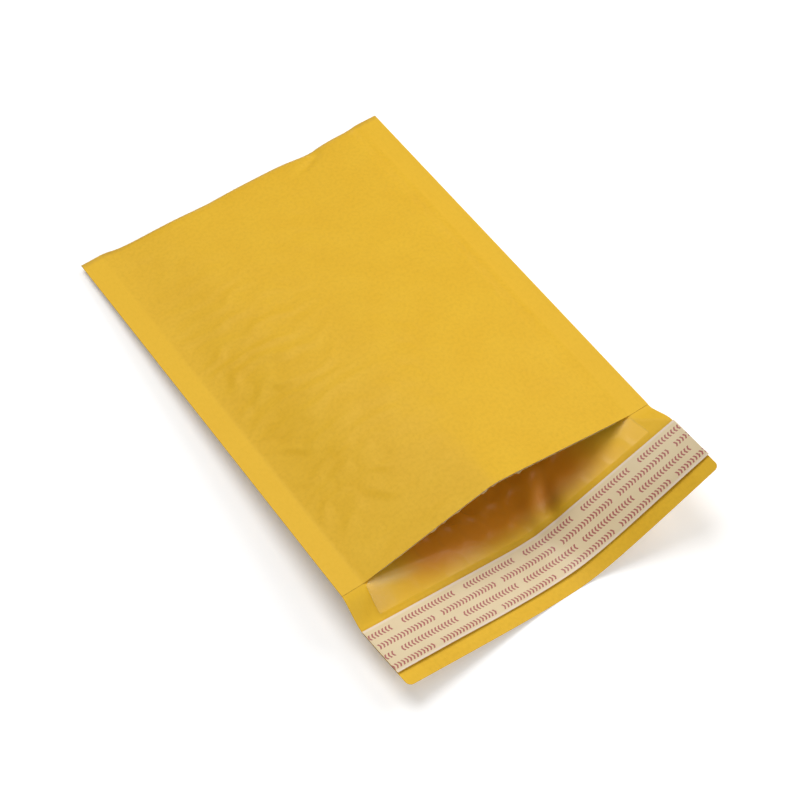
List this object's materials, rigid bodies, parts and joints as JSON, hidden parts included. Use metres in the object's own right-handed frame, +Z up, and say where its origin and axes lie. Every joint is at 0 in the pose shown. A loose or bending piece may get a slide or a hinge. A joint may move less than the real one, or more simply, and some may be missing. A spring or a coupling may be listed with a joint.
{
  "type": "padded envelope",
  "caption": "Golden kraft padded mailing envelope, lying on its back with its mouth held open, bubble lined, with a flap, adhesive band and cream release liner.",
  "frame": {"origin": "on the table, under the middle of the bounding box", "axes": "+Z up from the table; -Y from the folded end towards the mouth and flap; +X to the right seen from above with the flap nearest"},
  "size_m": [0.15, 0.2372, 0.0357],
  "materials": {
    "kraft_paper": "uncoated golden kraft, slightly calendered",
    "bubble_film": "clear polythene bubble film over golden kraft",
    "hot_melt_adhesive": "smooth, tacky, slightly clear",
    "release_paper": "silicone coated, satin, with rows of small red marks"
  },
  "bodies": {
    "root": {"kraft_outer": "kraft_paper", "bubble_lining": "bubble_film", "adhesive_strip": "hot_melt_adhesive", "release_liner": "release_paper"}
  },
  "joints": []
}
